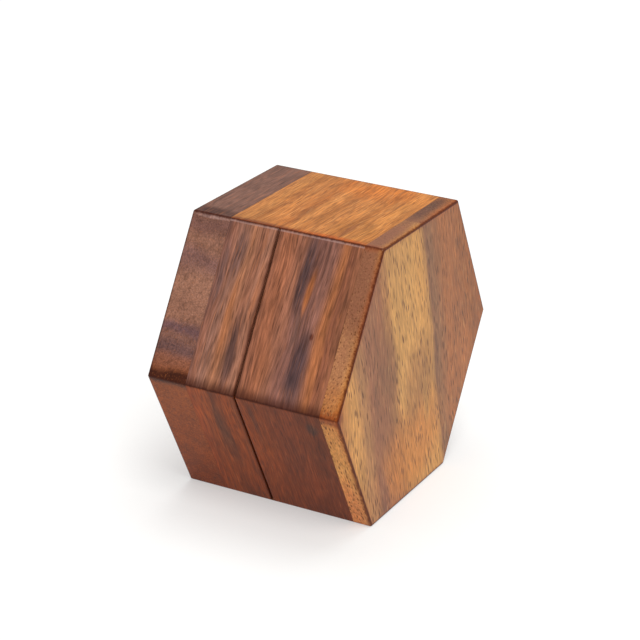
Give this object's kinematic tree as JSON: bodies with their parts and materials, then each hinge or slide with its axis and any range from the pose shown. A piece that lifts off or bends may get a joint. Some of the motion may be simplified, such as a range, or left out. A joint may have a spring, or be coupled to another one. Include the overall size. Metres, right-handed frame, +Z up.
{
  "type": "wooden burr puzzle",
  "caption": "Hexagonal wooden burr puzzle: two halves, a top and a bottom piece locked by sloping tongues that slide apart together.",
  "frame": {"origin": "on the surface that the puzzle stands on, under the middle of its bounding box", "axes": "+X from the left end to the right end (the prism's axis), +Y across the hexagon from the front corner to the back corner, +Z up"},
  "size_m": [0.057, 0.092, 0.08],
  "materials": {
    "golden_top_board": "golden orange tropical hardwood, gloss lacquer, grain across the block",
    "dark_end_plate": "dark brown heartwood, gloss lacquer",
    "red_brown_block": "red-brown heartwood with black streaks, gloss lacquer",
    "deep_brown_block": "deeper red-brown heartwood, gloss lacquer",
    "tan_end_plate": "tan sapwood with brown heart bands and long pores, gloss lacquer",
    "plain_core_wood": "the same hardwood sawn and sanded, without lacquer"
  },
  "bodies": {
    "bottom_piece": {"bottom_block": "golden_top_board", "bottom_left_tongue": "plain_core_wood", "bottom_right_tongue": "plain_core_wood"},
    "left_half": {"left_end_plate": "dark_end_plate", "left_upper_front_block": "red_brown_block", "left_upper_back_block": "red_brown_block", "left_lower_front_block": "deep_brown_block", "left_lower_back_block": "deep_brown_block", "left_upper_wedge": "plain_core_wood", "left_centre_guide": "plain_core_wood", "left_lower_wedge": "plain_core_wood"},
    "right_half": {"right_end_plate": "tan_end_plate", "right_upper_front_block": "red_brown_block", "right_upper_back_block": "red_brown_block", "right_lower_front_block": "deep_brown_block", "right_lower_back_block": "deep_brown_block", "right_upper_wedge": "plain_core_wood", "right_centre_guide": "plain_core_wood", "right_lower_wedge": "plain_core_wood", "right_packing_block": "plain_core_wood"},
    "top_piece": {"top_block": "golden_top_board", "top_left_tongue": "plain_core_wood", "top_right_tongue": "plain_core_wood"}
  },
  "joints": [
    {"name": "left_half_slide", "type": "slide", "parent": "bottom_piece", "child": "left_half", "axis": [-0.7071, 0, 0.7071], "range_m": [0, 0.01414]},
    {"name": "right_half_slide", "type": "slide", "parent": "bottom_piece", "child": "right_half", "axis": [0.7071, 0, 0.7071], "range_m": [0, 0.01415]},
    {"name": "top_piece_rise", "type": "slide", "parent": "bottom_piece", "child": "top_piece", "axis": [0, 0, 1], "range_m": [0, 0.02]}
  ],
  "couplings": [
    {"joint": "right_half_slide", "follows": "left_half_slide", "ratio": 1},
    {"joint": "top_piece_rise", "follows": "left_half_slide", "ratio": 1.4142}
  ]
}
